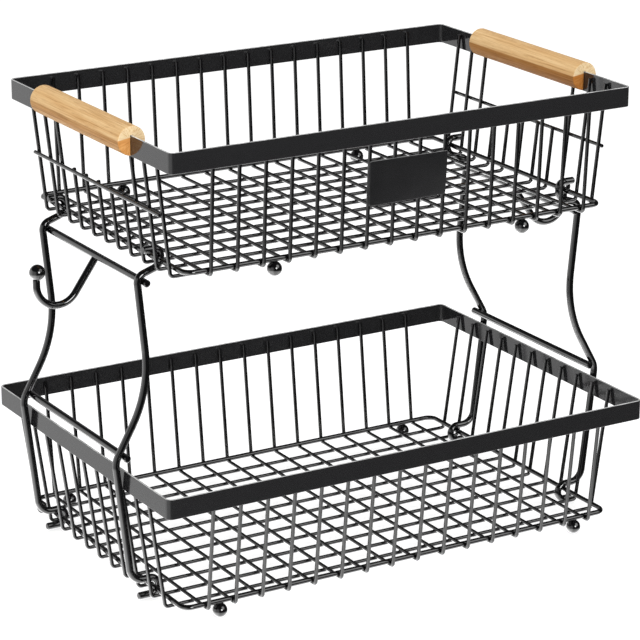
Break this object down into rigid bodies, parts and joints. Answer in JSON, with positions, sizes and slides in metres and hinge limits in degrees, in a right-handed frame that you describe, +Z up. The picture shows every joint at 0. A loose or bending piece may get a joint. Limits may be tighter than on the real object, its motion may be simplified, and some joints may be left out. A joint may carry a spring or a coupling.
{
  "type": "two-tier storage rack",
  "caption": "Two-tier black wire storage rack with wooden handles, a blank label plate, side brackets and ball-tipped hooks.",
  "frame": {"origin": "middle of the footprint, on the surface that the lower feet stand on", "axes": "+X to the right along the long side, +Y to the back, +Z up"},
  "size_m": [0.4854, 0.29, 0.3655],
  "materials": {
    "wire_paint": "gloss black coated steel wire",
    "strip_paint": "semi-gloss black coated steel strip",
    "plate_paint": "satin black coated steel sheet",
    "handle_wood": "pale oiled dowel wood"
  },
  "bodies": {
    "root": {"upper_rim_band": "strip_paint", "upper_ring_and_cross_wires": "wire_paint", "upper_side_wire_01": "wire_paint", "upper_side_wire_02": "wire_paint", "upper_side_wire_03": "wire_paint", "upper_side_wire_04": "wire_paint", "upper_side_wire_05": "wire_paint", "upper_side_wire_06": "wire_paint", "upper_side_wire_07": "wire_paint", "upper_side_wire_08": "wire_paint", "upper_side_wire_09": "wire_paint", "upper_side_wire_10": "wire_paint", "upper_side_wire_11": "wire_paint", "upper_foot_front_left": "wire_paint", "upper_foot_front_right": "wire_paint", "upper_foot_rear_left": "wire_paint", "upper_foot_rear_right": "wire_paint", "lower_rim_band": "strip_paint", "lower_ring_and_cross_wires": "wire_paint", "lower_side_wire_01": "wire_paint", "lower_side_wire_02": "wire_paint", "lower_side_wire_03": "wire_paint", "lower_side_wire_04": "wire_paint", "lower_side_wire_05": "wire_paint", "lower_side_wire_06": "wire_paint", "lower_side_wire_07": "wire_paint", "lower_side_wire_08": "wire_paint", "lower_side_wire_09": "wire_paint", "lower_side_wire_10": "wire_paint", "lower_side_wire_11": "wire_paint", "lower_foot_front_left": "wire_paint", "lower_foot_front_right": "wire_paint", "lower_foot_rear_left": "wire_paint", "lower_foot_rear_right": "wire_paint", "left_guard_wire": "wire_paint", "left_front_leg": "wire_paint", "left_rear_leg": "wire_paint", "left_upper_rod": "wire_paint", "left_lower_rod": "wire_paint", "left_hook": "wire_paint", "left_hook_ball": "wire_paint", "left_handle": "handle_wood", "right_guard_wire": "wire_paint", "right_front_leg": "wire_paint", "right_rear_leg": "wire_paint", "right_upper_rod": "wire_paint", "right_lower_rod": "wire_paint", "right_hook": "wire_paint", "right_hook_ball": "wire_paint", "right_handle": "handle_wood", "label_plate": "plate_paint"}
  },
  "joints": []
}
